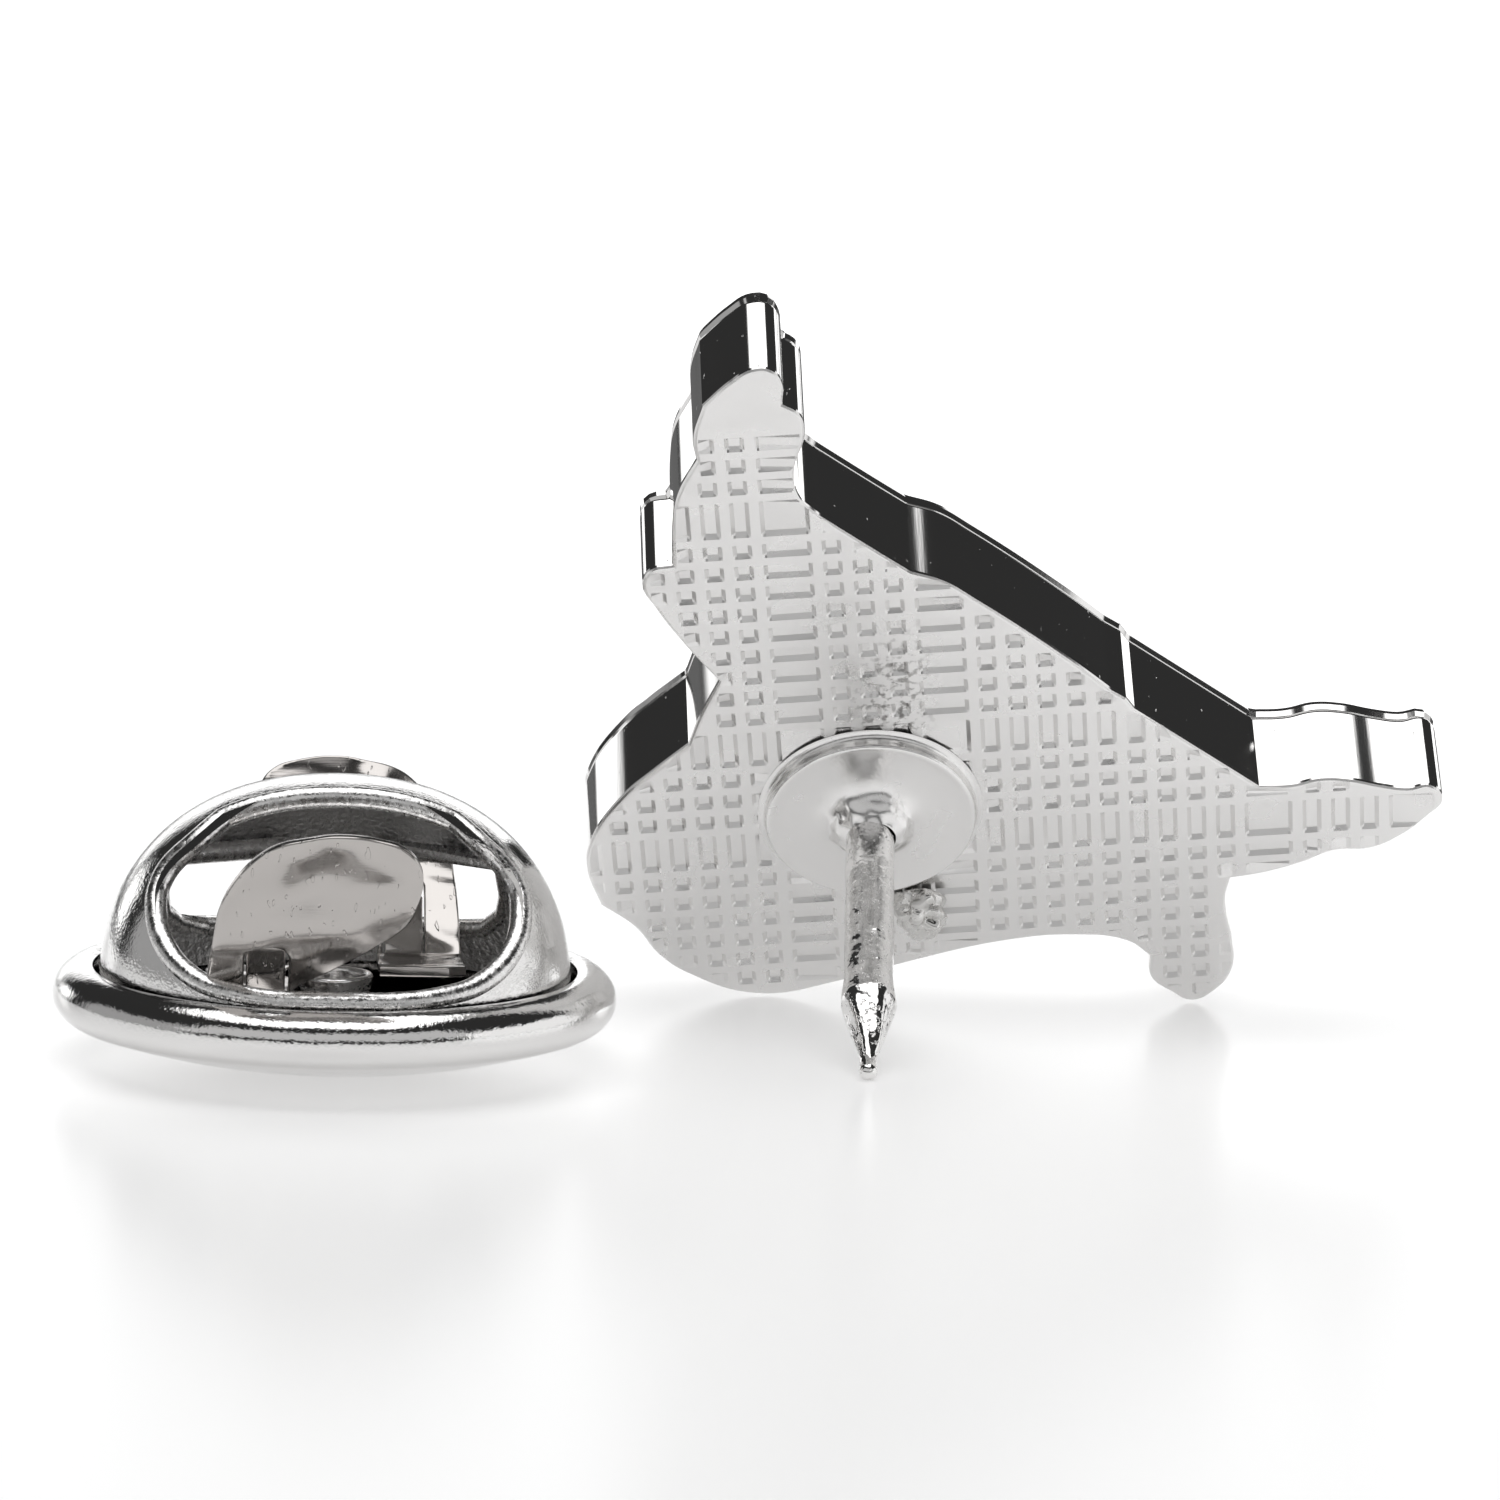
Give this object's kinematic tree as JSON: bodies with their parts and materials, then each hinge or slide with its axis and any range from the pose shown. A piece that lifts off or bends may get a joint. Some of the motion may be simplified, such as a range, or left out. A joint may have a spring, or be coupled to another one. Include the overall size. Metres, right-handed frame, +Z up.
{
  "type": "tie tack",
  "caption": "Die-struck tie tack lying beside its butterfly clutch. A pointed nail on a pad stands out of the plain cast back, and a domed clutch with pinch wings grips it.",
  "frame": {"origin": "on the table, under the middle of the box round the badge and the clutch together", "axes": "+X from the clutch to the badge, along the object's longest side; +Y away from the clutch's front wing, to the badge's face; +Z up from the table"},
  "size_m": [0.0294, 0.0174, 0.0164],
  "materials": {
    "badge": "rhodium-plated die-struck zinc alloy, polished edge and satin back",
    "post_pad": "rhodium-plated steel, satin",
    "post": "rhodium-plated steel, lightly hammered",
    "solder_bead": "plated solder, wrinkled",
    "clutch_dish": "nickel-plated pressed brass, polished",
    "clutch_dome": "nickel-plated pressed brass, polished",
    "guide_eyelet": "nickel-plated brass, satin",
    "front_wing": "nickel-plated spring steel, drawn",
    "rear_wing": "nickel-plated spring steel, drawn"
  },
  "bodies": {
    "tack": {"badge": "badge", "post_pad": "post_pad", "post": "post", "solder_bead": "solder_bead"},
    "clutch": {"clutch_dish": "clutch_dish", "clutch_dome": "clutch_dome", "guide_eyelet": "guide_eyelet"},
    "front_wing": {"front_wing": "front_wing"},
    "rear_wing": {"rear_wing": "rear_wing"}
  },
  "joints": [
    {"name": "clutch_lift", "type": "slide", "parent": "tack", "child": "clutch", "axis": [0, 0, 1], "range_m": [0, 0.02]},
    {"name": "front_wing_pinch", "type": "hinge", "parent": "clutch", "child": "front_wing", "pos_m": [-0.0086, -0.00533, 0.00169], "axis": [-0.9976, -0.0698, 0], "range_deg": [0, 6], "stiffness_Nm_per_rad": 0.01},
    {"name": "rear_wing_pinch", "type": "hinge", "parent": "clutch", "child": "rear_wing", "pos_m": [-0.00897, -0.00014, 0.00169], "axis": [0.9976, 0.0698, 0], "range_deg": [0, 6], "stiffness_Nm_per_rad": 0.01}
  ]
}
